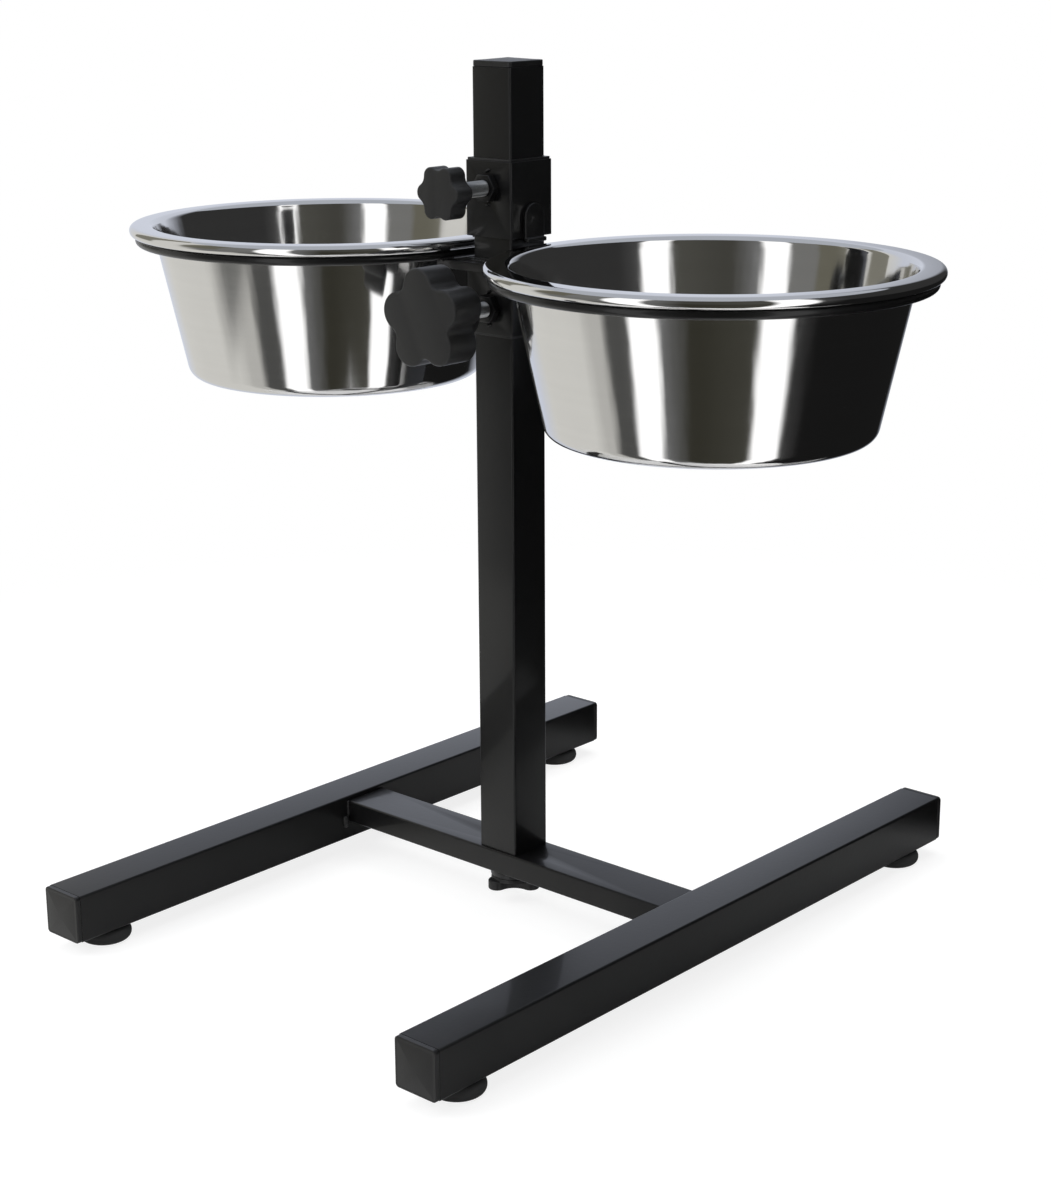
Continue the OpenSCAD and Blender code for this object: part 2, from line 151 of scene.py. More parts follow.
class Graph:
    """The node tree of a material or of the world."""

    def __init__(self, tree: bpy.types.NodeTree) -> None:
        """Empties the tree.

        Args:
            tree: The node tree to fill.
        """
        self.tree = tree
        tree.nodes.clear()

    def node(
        self,
        kind: str,
        settings: dict[str, Any] | None = None,
        inputs: dict[str | int, Any] | None = None,
        output: str | int = 0,
    ) -> Value:
        """Adds a node.

        Args:
            kind: Blender's name of the node type.
            settings: Properties that are set first; "stops" are a colour ramp's places and colours.
            inputs: Numbers, colours or values for the node's sockets, by name or number.
            output: The output to hand back.

        Returns:
            The value of that output.
        """
        made = self.tree.nodes.new(kind)
        for key, setting in (settings or {}).items():
            if key == "stops":
                self._fill_ramp(made.color_ramp, setting)
            else:
                setattr(made, key, setting)
        for key, given in (inputs or {}).items():
            if isinstance(given, Value):
                self.tree.links.new(given.socket, made.inputs[key])
            else:
                made.inputs[key].default_value = given
        return Value(self, made.outputs[output] if made.outputs else None)

    @staticmethod
    def _fill_ramp(ramp: bpy.types.ColorRamp, stops: list[tuple[float, Colour]]) -> None:
        """Gives a colour ramp its stops.

        Args:
            ramp: The ramp of a new node, with its two own stops.
            stops: Places from 0 to 1 in rising order, with their colours.
        """
        while len(ramp.elements) < len(stops):
            ramp.elements.new(1.0)
        for element, (place, colour) in zip(ramp.elements, stops):
            element.position = place
            element.color = (*colour, 1.0)

    def coords(self) -> Value:
        """Object coordinates, which are the stand's own metres."""
        return self.node("ShaderNodeTexCoord", output="Object")

    def centred(self, centre: Vector) -> Value:
        """Object coordinates measured from a point of the stand."""
        moved = {"Vector": self.coords(), "Location": -centre}
        return self.node("ShaderNodeMapping", {"vector_type": "POINT"}, moved)

    def stretched(self, coords: Value, scale: Point) -> Value:
        """Coordinates with a scale of their own along each axis."""
        return self.node("ShaderNodeMapping", {"vector_type": "POINT"}, {"Vector": coords, "Scale": scale})

    def noise(self, coords: Value, scale: float, detail: float = 2.0) -> Value:
        """A cloudy pattern from 0 to 1, with so many cells to a metre."""
        inputs = {"Vector": coords, "Scale": scale, "Detail": detail}
        return self.node("ShaderNodeTexNoise", None, inputs, "Fac")

    def blend(self, factor: Value, first: Colour | Value, second: Colour | Value) -> Value:
        """Mixes two colours.

        Args:
            factor: 0 for the first colour, 1 for the second.
            first: A colour or a colour value.
            second: A colour or a colour value.

        Returns:
            The mixed colour.
        """
        pair = [c if isinstance(c, Value) else (*c, 1.0) for c in (first, second)]
        return self.node("ShaderNodeMix", {"data_type": "RGBA"}, {0: factor, 6: pair[0], 7: pair[1]}, 2)

    def remap(self, given: Value, low: float, high: float) -> Value:
        """0 below low, 1 above high, and a smooth rise between them."""
        return self.node(
            "ShaderNodeMapRange",
            {"interpolation_type": "SMOOTHSTEP"},
            {"Value": given, "From Min": low, "From Max": high},
        )

    def bump(self, height: Value, depth: float, strength: float, below: Value | None = None) -> Value:
        """Surface normals from a height pattern.

        Args:
            height: The pattern, from 0 to 1.
            depth: What a height of 1 stands for, in metres.
            strength: How much of it shows.
            below: Normals that the pattern is laid over.

        Returns:
            The normals.
        """
        inputs = {"Height": height, "Distance": depth, "Strength": strength}
        return self.node("ShaderNodeBump", None, inputs if below is None else inputs | {"Normal": below})


def shade_of(colour: Colour, factor: float) -> Colour:
    """A lighter or darker shade of a colour."""
    return tuple(factor * c for c in colour)


def grey(level: float) -> tuple[float, float, float, float]:
    """An opaque grey."""
    return (level, level, level, 1.0)


@dataclass(frozen=True)
class Finish:
    """A procedural surface finish."""

    name: str
    colour: Colour
    roughness: float

    def material(self) -> bpy.types.Material:
        """The finish's material, which is made once."""
        made = bpy.data.materials.get(self.name)
        if made is None:
            made = bpy.data.materials.new(self.name)
            made.use_nodes = True
            graph = Graph(made.node_tree)
            graph.node("ShaderNodeOutputMaterial", None, {"Surface": self.shade(graph)})
        return made

    def shade(self, graph: Graph) -> Value:
        """Builds the finish's shader; each kind of finish has its own."""
        raise NotImplementedError


@dataclass(frozen=True)
class PowderCoat(Finish):
    """Baked powder: nearly black and half glossy, with a fine orange peel and faint cloudiness."""

    cloud_cells: float = 22.0
    peel_cells: float = 420.0
    peel_depth: float = 0.00008
    specular: float = 0.3
    gloss: float = 0.2
    gloss_roughness: float = 0.07

    def shade(self, graph: Graph) -> Value:
        """Builds the coat.

        Args:
            graph: The material's node tree.

        Returns:
            The shader.
        """
        coords = graph.coords()
        cloud = graph.noise(coords, self.cloud_cells, 3.0)
        peel = graph.noise(coords, self.peel_cells, 1.0)
        dust = graph.noise(coords, 5.0 * self.peel_cells, 0.0)
        return graph.node(
            "ShaderNodeBsdfPrincipled",
            None,
            {
                "Base Color": graph.blend(cloud, shade_of(self.colour, 0.75), shade_of(self.colour, 1.3)),
                "Roughness": self.roughness - 0.04 + 0.08 * cloud + 0.05 * (dust - 0.5),
                "Specular IOR Level": self.specular,
                "Coat Weight": self.gloss + self.gloss * cloud,
                "Coat Roughness": self.gloss_roughness,
                "Normal": graph.bump(peel + 0.25 * dust, self.peel_depth, 0.3),
            },
        )


@dataclass(frozen=True)
class MouldedPlastic(Finish):
    """Filled plastic with a fine spark-eroded grain and pale scuffs."""

    flow_cells: float = 90.0
    scuff_cells: float = 320.0
    grain_cells: float = 1500.0
    grain_depth: float = 0.00008

    def shade(self, graph: Graph) -> Value:
        """Builds the plastic.

        Args:
            graph: The material's node tree.

        Returns:
            The shader.
        """
        coords = graph.coords()
        flow = graph.noise(coords, self.flow_cells, 4.0)
        grain = graph.noise(coords, self.grain_cells, 1.0)
        scuff = graph.remap(graph.noise(coords, self.scuff_cells, 5.0), 0.62, 0.75)
        worn = graph.blend(flow, shade_of(self.colour, 0.85), shade_of(self.colour, 1.18))
        return graph.node(
            "ShaderNodeBsdfPrincipled",
            None,
            {
                "Base Color": graph.blend(0.25 * scuff, worn, shade_of(self.colour, 2.0)),
                "Roughness": self.roughness - 0.06 + 0.12 * flow + 0.08 * (grain - 0.5),
                "Normal": graph.bump(grain + 0.3 * flow, self.grain_depth, 0.4),
            },
        )


@dataclass(frozen=True)
class FootRubber(Finish):
    """Soft rubber with a dull, dusty bloom and fine pores."""

    bloom_cells: float = 140.0
    pore_cells: float = 2200.0
    pore_depth: float = 0.00006

    def shade(self, graph: Graph) -> Value:
        """Builds the rubber.

        Args:
            graph: The material's node tree.

        Returns:
            The shader.
        """
        coords = graph.coords()
        bloom = graph.noise(coords, self.bloom_cells, 4.0)
        pores = graph.noise(coords, self.pore_cells, 2.0)
        dusty = graph.remap(bloom, 0.35, 0.8)
        return graph.node(
            "ShaderNodeBsdfPrincipled",
            None,
            {
                "Base Color": graph.blend(dusty, self.colour, shade_of(self.colour, 1.7)),
                "Roughness": self.roughness + 0.10 * bloom,
                "Normal": graph.bump(pores, self.pore_depth, 0.35),
            },
        )


@dataclass(frozen=True)
class ZincPlate(Finish):
    """Bright zinc plating with a spangle and dull patches."""

    dull_cells: float = 260.0
    spangle_cells: float = 900.0
    spangle_depth: float = 0.00003

    def shade(self, graph: Graph) -> Value:
        """Builds the plating.

        Args:
            graph: The material's node tree.

        Returns:
            The shader.
        """
        coords = graph.coords()
        dull = graph.noise(coords, self.dull_cells, 4.0)
        cells = {"Vector": coords, "Scale": self.spangle_cells}
        spangle = graph.node("ShaderNodeTexVoronoi", None, cells, "Distance")
        return graph.node(
            "ShaderNodeBsdfPrincipled",
            None,
            {
                "Base Color": graph.blend(dull, shade_of(self.colour, 0.8), shade_of(self.colour, 1.15)),
                "Metallic": 1.0,
                "Roughness": self.roughness + 0.14 * dull + 0.06 * spangle,
                "Normal": graph.bump(spangle, self.spangle_depth, 0.3),
            },
        )


@dataclass(frozen=True)
class SpunSteel(Finish):
    """Stainless sheet spun into a bowl: fine lines run round it, and its rim is polished."""

    axis: Vector = Vector()
    rim_top: float = 0.0
    line_cells: float = 1500.0
    line_depth: float = 0.00001
    band_cells: float = 160.0
    smear_cells: float = 45.0
    flute_cells: float = 75.0
    flute_depth: float = 0.0003
    polish: tuple[float, float] = (6.0 * MM, 2.0 * MM)

    def shade(self, graph: Graph) -> Value:
        """Builds the steel.

        Args:
            graph: The material's node tree.

        Returns:
            The shader.
        """
        place = graph.centred(self.axis)
        parts = graph.node("ShaderNodeSeparateXYZ", None, {0: place}, "X")
        x, y, z = parts, parts.output("Y"), parts.output("Z")
        radius = (x * x + y * y) ** 0.5
        track = graph.node("ShaderNodeCombineXYZ", None, {"X": radius, "Y": z, "Z": 0.0})
        lines = graph.noise(track, self.line_cells, 3.0)
        bands = graph.noise(track, self.band_cells, 2.0)
        smear = graph.noise(place, self.smear_cells, 3.0)
        flutes = graph.noise(graph.stretched(place, (1.0, 1.0, 0.06)), self.flute_cells, 2.0)
        top = self.rim_top - self.axis.z
        wall = 1.0 - graph.remap(z, *(top - drop for drop in self.polish))
        rough = self.roughness + wall * (0.03 + 0.05 * (lines - 0.5) + 0.03 * (bands - 0.5)) + 0.02 * smear
        tint = 0.6 * bands + 0.4 * smear
        relief = graph.bump(wall * flutes, self.flute_depth, 0.5)
        return graph.node(
            "ShaderNodeBsdfPrincipled",
            None,
            {
                "Base Color": graph.blend(tint, shade_of(self.colour, 0.94), shade_of(self.colour, 1.05)),
                "Metallic": 1.0,
                "Roughness": rough,
                "Anisotropic": 0.55,
                "Anisotropic Rotation": 0.25,
                "Normal": graph.bump(lines, self.line_depth, 0.2, relief),
            },
        )


class Pen:
    """Draws a line of strokes and arcs in a bmesh by extruding and spinning the line's last vertex."""

    def __init__(self, bm: BMesh, start: Point, axis: Point) -> None:
        """Sets the pen down.

        Args:
            bm: The mesh to draw in.
            start: The first point.
            axis: The axis that arcs turn about, anticlockwise when it points at the viewer.
        """
        self.bm = bm
        self.axis = axis
        self.tip: BMVert = bm.verts.new(start)

    def line(self, point: Point) -> "Pen":
        """Draws a straight stroke to a point."""
        self.tip = bmesh.ops.extrude_vert_indiv(self.bm, verts=[self.tip])["verts"][0]
        self.tip.co = point
        return self

    def arc(self, centre: Point, degrees: float, steps: int) -> "Pen":
        """Draws an arc about a centre.

        Args:
            centre: The arc's centre.
            degrees: The turn, anticlockwise if positive.
            steps: The number of short strokes.

        Returns:
            The pen, at the arc's end.
        """
        made = bmesh.ops.spin(
            self.bm, geom=[self.tip], cent=centre, axis=self.axis, angle=math.radians(degrees), steps=steps
        )
        self.tip = next(v for v in made["geom_last"] if isinstance(v, BMVert))
        return self


class Bench:
    """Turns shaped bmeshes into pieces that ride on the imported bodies."""

    @staticmethod
    def box(node: str) -> tuple[Vector, Vector, Vector]:
        """Lowest corner, highest corner and middle of a CAD node."""
        low, high = (Vector(c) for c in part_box(node))
        return low, high, (low + high) / 2.0

    @staticmethod
    def slot(node: str) -> str:
        """The record's material slot of a CAD node."""
        return next(s["material_slot"] for s in frame["record"]["subparts"] if s["node"] == node)

    @staticmethod
    def turn(bm: BMesh, steps: int) -> None:
        """Spins a drawn section all round the Z axis into a closed skin.

        Args:
            bm: The mesh with the section in the plane of X and Z.
            steps: The number of facets round the axis.
        """
        bmesh.ops.spin(
            bm,
            geom=bm.verts[:] + bm.edges[:],
            cent=(0.0, 0.0, 0.0),
            axis=(0.0, 0.0, 1.0),
            angle=2.0 * math.pi,
            steps=steps,
            use_merge=True,
        )
        bmesh.ops.remove_doubles(bm, verts=bm.verts, dist=1e-7)
        bmesh.ops.recalc_face_normals(bm, faces=bm.faces)

    @staticmethod
    def round_edges(
        bm: BMesh, edges: list[BMEdge], offset: float, segments: int, clamp: bool = False
    ) -> None:
        """Rounds the edges that are given.

        Args:
            bm: The mesh.
            edges: The edges.
            offset: The width of the rounding on each face.
            segments: The facets across it.
            clamp: True to keep roundings from crossing each other.
        """
        bmesh.ops.bevel(
            bm,
            geom=edges,
            offset=offset,
            offset_type="OFFSET",
            affect="EDGES",
            segments=segments,
            profile=0.5,
            clamp_overlap=clamp,
            material=-1,
        )

    @classmethod
    def ease(cls, bm: BMesh, offset: float, segments: int = 3, angle: float = 35.0) -> None:
        """Rounds every edge that is sharper than an angle.

        Args:
            bm: The mesh.
            offset: The width of the rounding on each face.
            segments: The facets across it.
            angle: The least angle between the faces, in degrees.
        """
        limit = math.radians(angle)
        sharp = [e for e in bm.edges if e.is_manifold and e.calc_face_angle() > limit]
        cls.round_edges(bm, sharp, offset, segments, clamp=True)

    @classmethod
    def eased_copy(cls, node: str, offset: float, segments: int = 3) -> BMesh:
        """A merged copy of a CAD node's mesh with its edges eased.

        Args:
            node: The CAD node.
            offset: The width of the easing.
            segments: The facets across it.

        Returns:
            The mesh.
        """
        bm = bmesh.new()
        bm.from_mesh(frame["nodes"][node].data)
        bmesh.ops.remove_doubles(bm, verts=bm.verts, dist=1e-6)
        bmesh.ops.dissolve_limit(bm, angle_limit=math.radians(0.5), verts=bm.verts, edges=bm.edges)
        cls.ease(bm, offset, segments)
        return bm

    @classmethod
    def piece(
        cls,
        bm: BMesh,
        name: str,
        node: str,
        finish: Finish,
        stands_for: bool = True,
        crease: float = 32.0,
    ) -> None:
        """Makes a piece of the stand from a mesh.

        Args:
            bm: The shaped mesh, which is used up.
            name: The piece's name.
            node: The CAD node whose body the piece takes; its material slot is only looked up.
            finish: The surface finish.
            stands_for: True if the piece stands for the node.
            crease: The angle in degrees from which an edge looks sharp.
        """
        for face in bm.faces:
            face.smooth = True
        for edge in bm.edges:
            edge.smooth = edge.is_manifold and edge.calc_face_angle() < math.radians(crease)
        mesh = bpy.data.meshes.new(name)
        bm.to_mesh(mesh)
        bm.free()
        made = bpy.data.objects.new(name, mesh)
        bpy.context.scene.collection.objects.link(made)
        made.data.materials.append(finish.material())
        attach(made, frame["nodes"][node]["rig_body"])
        cls.slot(node)
        if stands_for:
            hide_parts(node)
        LOG.info("%s: %d faces", name, len(mesh.polygons))

    @staticmethod
    def dress(node: str, finish: Finish) -> None:
        """Gives a CAD node that stays in view its finish."""
        for held in frame["nodes"][node].material_slots:
            held.material = finish.material()
        LOG.info("%s: dressed", node)


COAT = PowderCoat("black_powder_coat", (0.0052, 0.0052, 0.0055), 0.36)
CAP = MouldedPlastic("moulded_cap_plastic", (0.0095, 0.0095, 0.0098), 0.38)
KNOB = MouldedPlastic("moulded_knob_plastic", (0.0125, 0.0125, 0.0128), 0.46)
LINER = MouldedPlastic("moulded_liner_plastic", (0.018, 0.018, 0.019), 0.3)
RUBBER = FootRubber("foot_rubber", (0.034, 0.034, 0.034), 0.6)
ZINC = ZincPlate("zinc_plate", (0.42, 0.43, 0.44), 0.24)

COATED_STOCK = (
    "left_leg",
    "right_leg",
    "crossbar",
    "post",
    "lower_sleeve",
    "upper_sleeve",
    "front_arm",
    "rear_arm",
    "lower_nut",
    "upper_nut",
)


@dataclass
class EasedStock:
    """Tubes, bars, nuts and liners that keep their CAD form, with their cut edges lightly broken."""

    finish: Finish
    nodes: tuple[str, ...]
    edge: float = 0.35 * MM

    def build(self) -> None:
        """Copies each piece with its edges eased."""
        for node in self.nodes:
            Bench.piece(Bench.eased_copy(node, self.edge), f"{node}_stock", node, self.finish)


@dataclass
class EndCap:
    """Plug in a tube's end: a flange that covers the cut, with a shallow four-sided crown."""

    node: str
    facing: Facing
    flange: float = 3.0 * MM
    corner: float = 2.0 * MM
    corner_steps: int = 6
    border: float = 1.2 * MM
    crown: float = 1.2 * MM
    edge: float = 0.5 * MM

    def build(self) -> None:
        """Makes the part of the cap that shows outside the tube."""
        low, high, middle = Bench.box(self.node)
        out = self.facing.out
        end = max(low.dot(out), high.dot(out))
        side = high.x - low.x
        bm = bmesh.new()
        bmesh.ops.create_cube(bm, size=1.0)
        bmesh.ops.scale(bm, vec=(side, side, self.flange), verts=bm.verts)
        uprights = [e for e in bm.edges if abs(e.verts[0].co.z - e.verts[1].co.z) > self.flange / 2]
        Bench.round_edges(bm, uprights, self.corner, self.corner_steps)
        Bench.ease(bm, self.edge, 3, 60.0)
        top = max(bm.faces, key=lambda f: (f.calc_center_median().z, f.calc_area()))
        bmesh.ops.inset_region(bm, faces=[top], thickness=self.border, depth=0.0, use_even_offset=True)
        bmesh.ops.poke(bm, faces=[top], offset=self.crown)
        place = out * (end - self.crown - self.flange / 2) + middle - out * middle.dot(out)
        bmesh.ops.transform(bm, matrix=Matrix.Translation(place) @ self.facing.value, verts=bm.verts)
        Bench.piece(bm, f"{self.node}_plug", self.node, CAP, crease=4.0)


@dataclass
class Foot:
    """Round rubber foot: a bun with a full round edge and a short neck up to its leg."""

    node: str
    leg: str
    edge: float = 3.4 * MM
    neck_h: float = 1.2 * MM
    neck_in: float = 5.0 * MM
    edge_steps: int = 8
    facets: int = 64

    def build(self) -> None:
        """Turns the foot below its leg."""
        low, high, middle = Bench.box(self.node)
        radius = (high.x - low.x) / 2.0
        height = Bench.box(self.leg)[0].z - low.z
        shoulder = height - self.neck_h
        bm = bmesh.new()
        pen = Pen(bm, (0.0, 0.0, 0.0), (0.0, -1.0, 0.0))
        pen.line((radius - self.edge, 0.0, 0.0))
        pen.arc((radius - self.edge, 0.0, self.edge), 90.0, self.edge_steps)
        pen.line((radius, 0.0, shoulder - self.edge))
        pen.arc((radius - self.edge, 0.0, shoulder - self.edge), 90.0, self.edge_steps)
        pen.line((radius - self.neck_in, 0.0, height))
        pen.line((0.0, 0.0, height))
        Bench.turn(bm, self.facets)
        bmesh.ops.translate(bm, vec=(middle.x, middle.y, low.z), verts=bm.verts)
        Bench.piece(bm, f"{self.node}_bun", self.node, RUBBER)


@dataclass
class StarKnob:
    """Moulded star knob: lobes and hollows that run into each other, on a round hub."""

    node: str
    stud: str
    facing: Facing
    diameter: float
    lobes: int
    lobe_r: float
    hollow_r: float
    turn: float
    thickness: float
    hub_d: float
    edge: float
    hub_edge: float = 0.8 * MM
    hub_sink: float = 0.5 * MM
    hub_draft: float = 0.3 * MM
    hub_facets: int = 48
    lobe_steps: int = 18
    hollow_steps: int = 12

    def build(self) -> None:
        """Makes the knob with its face out and its hub towards the stand."""
        low, high, _ = Bench.box(self.node)
        axis = Bench.box(self.stud)[2]
        out = self.facing.out
        face = max(low.dot(out), high.dot(out))
        length = abs((high - low).dot(out))
        bm = bmesh.new()
        self._star(bm)
        self._hub(bm, length)
        place = axis - out * axis.dot(out) + out * face
        bmesh.ops.transform(bm, matrix=Matrix.Translation(place) @ self.facing.value, verts=bm.verts)
        Bench.piece(bm, f"{self.node}_moulding", self.node, KNOB)

    def _star(self, bm: BMesh) -> None:
        """Draws the outline, fills it and gives it its thickness and round edges.

        Args:
            bm: The knob's mesh, with its face up at height 0.
        """
        half = math.pi / self.lobes
        ring = self.diameter / 2.0 - self.lobe_r
        span = self.lobe_r + self.hollow_r
        reach = ring * math.cos(half) + math.sqrt(span**2 - (ring * math.sin(half)) ** 2)
        flank = math.atan2(reach * math.sin(half), reach * math.cos(half) - ring)
        first = math.radians(self.turn)

        def polar(radius: float, angle: float) -> Vector:
            """A point of the outline's plane."""
            return Vector((radius * math.cos(angle), radius * math.sin(angle), 0.0))

        pen = Pen(bm, polar(ring, first) + polar(self.lobe_r, first - flank), (0.0, 0.0, 1.0))
        for i in range(self.lobes):
            lobe = first + 2.0 * half * i
            pen.arc(polar(ring, lobe), math.degrees(2.0 * flank), self.lobe_steps)
            pen.arc(polar(reach, lobe + half), -math.degrees(2.0 * (flank - half)), self.hollow_steps)
        bmesh.ops.remove_doubles(bm, verts=bm.verts, dist=1e-6)
        face = bmesh.ops.contextual_create(bm, geom=bm.edges[:])["faces"][0]
        bmesh.ops.recalc_face_normals(bm, faces=[face])
        grown = bmesh.ops.extrude_face_region(bm, geom=[face])
        down = [v for v in grown["geom"] if isinstance(v, BMVert)]
        bmesh.ops.translate(bm, vec=(0.0, 0.0, -self.thickness), verts=down)
        bmesh.ops.recalc_face_normals(bm, faces=bm.faces)
        Bench.ease(bm, self.edge, 4, 60.0)

    def _hub(self, bm: BMesh, length: float) -> None:
        """Adds the hub behind the star.

        Args:
            bm: The knob's mesh.
            length: The knob's whole length.
        """
        depth = length - self.thickness + self.hub_sink
        made = bmesh.ops.create_cone(
            bm,
            cap_ends=True,
            segments=self.hub_facets,
            radius1=self.hub_d / 2.0,
            radius2=self.hub_d / 2.0 + self.hub_draft,
            depth=depth,
            matrix=Matrix.Translation((0.0, 0.0, -length + depth / 2.0)),
        )
        edges = {e for v in made["verts"] for e in v.link_edges}
        rim = [e for e in edges if all(abs(v.co.z + length) < 1e-6 for v in e.verts)]
        Bench.round_edges(bm, rim, self.hub_edge, 3)


KNOBS = (
    StarKnob(
        "lower_knob",
        "lower_stud",
        Facing.FRONT,
        diameter=51.0 * MM,
        lobes=5,
        lobe_r=9.6 * MM,
        hollow_r=4.8 * MM,
        turn=25.0,
        thickness=19.0 * MM,
        hub_d=24.0 * MM,
        edge=1.2 * MM,
    ),
    StarKnob(
        "upper_knob",
        "upper_stud",
        Facing.FRONT,
        diameter=27.5 * MM,
        lobes=6,
        lobe_r=4.3 * MM,
        hollow_r=5.3 * MM,
        turn=0.0,
        thickness=11.0 * MM,
        hub_d=11.5 * MM,
        edge=0.8 * MM,
    ),
    StarKnob(
        "base_knob",
        "base_stud",
        Facing.DOWN,
        diameter=30.5 * MM,
        lobes=3,
        lobe_r=4.8 * MM,
        hollow_r=8.6 * MM,
        turn=-12.0,
        thickness=5.3 * MM,
        hub_d=24.0 * MM,
        edge=0.8 * MM,
        hub_edge=0.4 * MM,
    ),
)


@dataclass
class ThreadedStud:
    """Zinc-plated stud with a rolled thread and a plain pressing tip; its flanks are parts of the pitch."""

    node: str
    facing: Facing
    major_d: float = 8.0 * MM
    pitch: float = 1.25 * MM
    depth: float = 0.62 * MM
    flank_start: float = 0.12
    crest_start: float = 0.48
    crest_end: float = 0.64
    tip_d: float = 6.0 * MM
    tip_len: float = 3.0 * MM
    tip_taper: float = 0.8
    tip_facets: int = 32
    steps: int = 20

    def build(self) -> None:
        """Makes the stud from its tip to the end that the knob holds."""
        low, high, axis = Bench.box(self.node)
        out = self.facing.out
        start = min(low.dot(out), high.dot(out))
        length = abs((high - low).dot(out))
        bm = bmesh.new()
        crest, root = self.major_d / 2.0, self.major_d / 2.0 - self.depth
        turns = math.ceil((length - self.tip_len) / self.pitch) + 2
        base = self.tip_len - self.pitch
        pen = Pen(bm, (root, 0.0, base), (0.0, -1.0, 0.0))
        pen.line((root, 0.0, base + self.flank_start * self.pitch))
        pen.line((crest, 0.0, base + self.crest_start * self.pitch))
        pen.line((crest, 0.0, base + self.crest_end * self.pitch))
        pen.line((root, 0.0, base + self.pitch))
        bmesh.ops.spin(
            bm,
            geom=bm.verts[:] + bm.edges[:],
            cent=(0.0, 0.0, 0.0),
            axis=(0.0, 0.0, 1.0),
            dvec=(0.0, 0.0, self.pitch / self.steps),
            angle=2.0 * math.pi * turns,
            steps=turns * self.steps,
        )
        bmesh.ops.remove_doubles(bm, verts=bm.verts, dist=2e-6)
        for height, up in ((self.tip_len, -1.0), (length, 1.0)):
            cut = bmesh.ops.bisect_plane(
                bm,
                geom=bm.verts[:] + bm.edges[:] + bm.faces[:],
                dist=1e-7,
                plane_co=(0.0, 0.0, height),
                plane_no=(0.0, 0.0, up),
                clear_outer=True,
            )
            bmesh.ops.contextual_create(bm, geom=[e for e in cut["geom_cut"] if isinstance(e, BMEdge)])
        bmesh.ops.recalc_face_normals(bm, faces=bm.faces)
        bmesh.ops.create_cone(
            bm,
            cap_ends=True,
            segments=self.tip_facets,
            radius1=self.tip_taper * self.tip_d / 2.0,
            radius2=self.tip_d / 2.0,
            depth=self.tip_len,
            matrix=Matrix.Translation((0.0, 0.0, self.tip_len / 2.0)),
        )
        place = axis - out * axis.dot(out) + out * start
        bmesh.ops.transform(bm, matrix=Matrix.Translation(place) @ self.facing.value, verts=bm.verts)
        Bench.piece(bm, f"{self.node}_thread", self.node, ZINC, crease=28.0)


@dataclass
class BowlRing:
    """Closed ring of coated round rod that a bowl's rim rests on."""

    side: Side
    facets: int = 144
    rod_facets: int = 20

    def build(self) -> None:
        """Bends the rod round the bowl's axis."""
        node = f"{self.side.value}_ring"
        low, high, middle = Bench.box(node)
        rod = (high.z - low.z) / 2.0
        radius = (high.x - low.x) / 2.0 - rod
        bm = bmesh.new()
        bmesh.ops.create_circle(
            bm,
            segments=self.rod_facets,
            radius=rod,
            matrix=Matrix.Translation((radius, 0.0, 0.0)) @ Matrix.Rotation(math.pi / 2, 4, "X"),
        )
        Bench.turn(bm, self.facets)
        bmesh.ops.translate(bm, vec=middle, verts=bm.verts)
        Bench.piece(bm, f"{node}_rod", node, COAT)


@dataclass
class Bowl:
    """Spun steel bowl: flat base, leaning wall and a flat rim that rolls under into a bead."""

    side: Side
    sheet: float = 0.8 * MM
    bead_r: float = 2.9 * MM
    bead_turn: float = 240.0
    flange: float = 10.0 * MM
    lip_r: float = 2.4 * MM
    lean: float = 12.0
    base_round: float = 7.2 * MM
    facets: int = 192
    bend_steps: int = 8
    bead_steps: tuple[int, int] = (20, 24)
    colour: Colour = (0.74, 0.735, 0.73)
    roughness: float = 0.05

    def build(self) -> None:
        """Draws the sheet's section, both faces, and turns it."""
        node = f"{self.side.value}_bowl"
        low, high, middle = Bench.box(node)
        rim = (high.x - low.x) / 2.0
        depth = high.z - low.z
        lean = math.radians(self.lean)
        bend = (rim - self.flange, 0.0, -self.sheet - self.lip_r)
        bead = (rim - self.bead_r, 0.0, -self.bead_r)
        low_z = self.base_round - depth
        wall_top = bend[2] + self.lip_r * math.sin(lean)
        wall_x = bend[0] - self.lip_r * math.cos(lean)
        wall_low = low_z - self.base_round * math.sin(lean)
        base_x = wall_x - (wall_top - wall_low) * math.tan(lean) - self.base_round * math.cos(lean)
        base = (base_x, 0.0, low_z)
        swing = 90.0 - self.lean
        inner = self.base_round - self.sheet
        bm = bmesh.new()
        pen = Pen(bm, (0.0, 0.0, -depth), (0.0, -1.0, 0.0))
        pen.line((base_x, 0.0, -depth)).arc(base, swing, self.bend_steps)
        pen.line((wall_x, 0.0, wall_top)).arc(bend, -swing, self.bend_steps)
        pen.line((bead[0], 0.0, -self.sheet)).arc(bead, -self.bead_turn, self.bead_steps[0])
        tail = math.radians(90.0 - self.bead_turn)
        pen.line((bead[0] + self.bead_r * math.cos(tail), 0.0, bead[2] + self.bead_r * math.sin(tail)))
        pen.arc(bead, self.bead_turn, self.bead_steps[1])
        pen.line((bend[0], 0.0, 0.0)).arc(bend, swing, self.bend_steps)
        pen.line((base_x + inner * math.cos(lean), 0.0, low_z - inner * math.sin(lean)))
        pen.arc(base, -swing, self.bend_steps)
        pen.line((0.0, 0.0, self.sheet - depth))
        Bench.turn(bm, self.facets)
        bmesh.ops.translate(bm, vec=(middle.x, middle.y, high.z), verts=bm.verts)
        steel = SpunSteel(
            f"{self.side.value}_spun_steel",
            self.colour,
            self.roughness,
            axis=Vector((middle.x, middle.y, 0.0)),
            rim_top=high.z,
        )
        Bench.piece(bm, f"{node}_spun", node, steel)


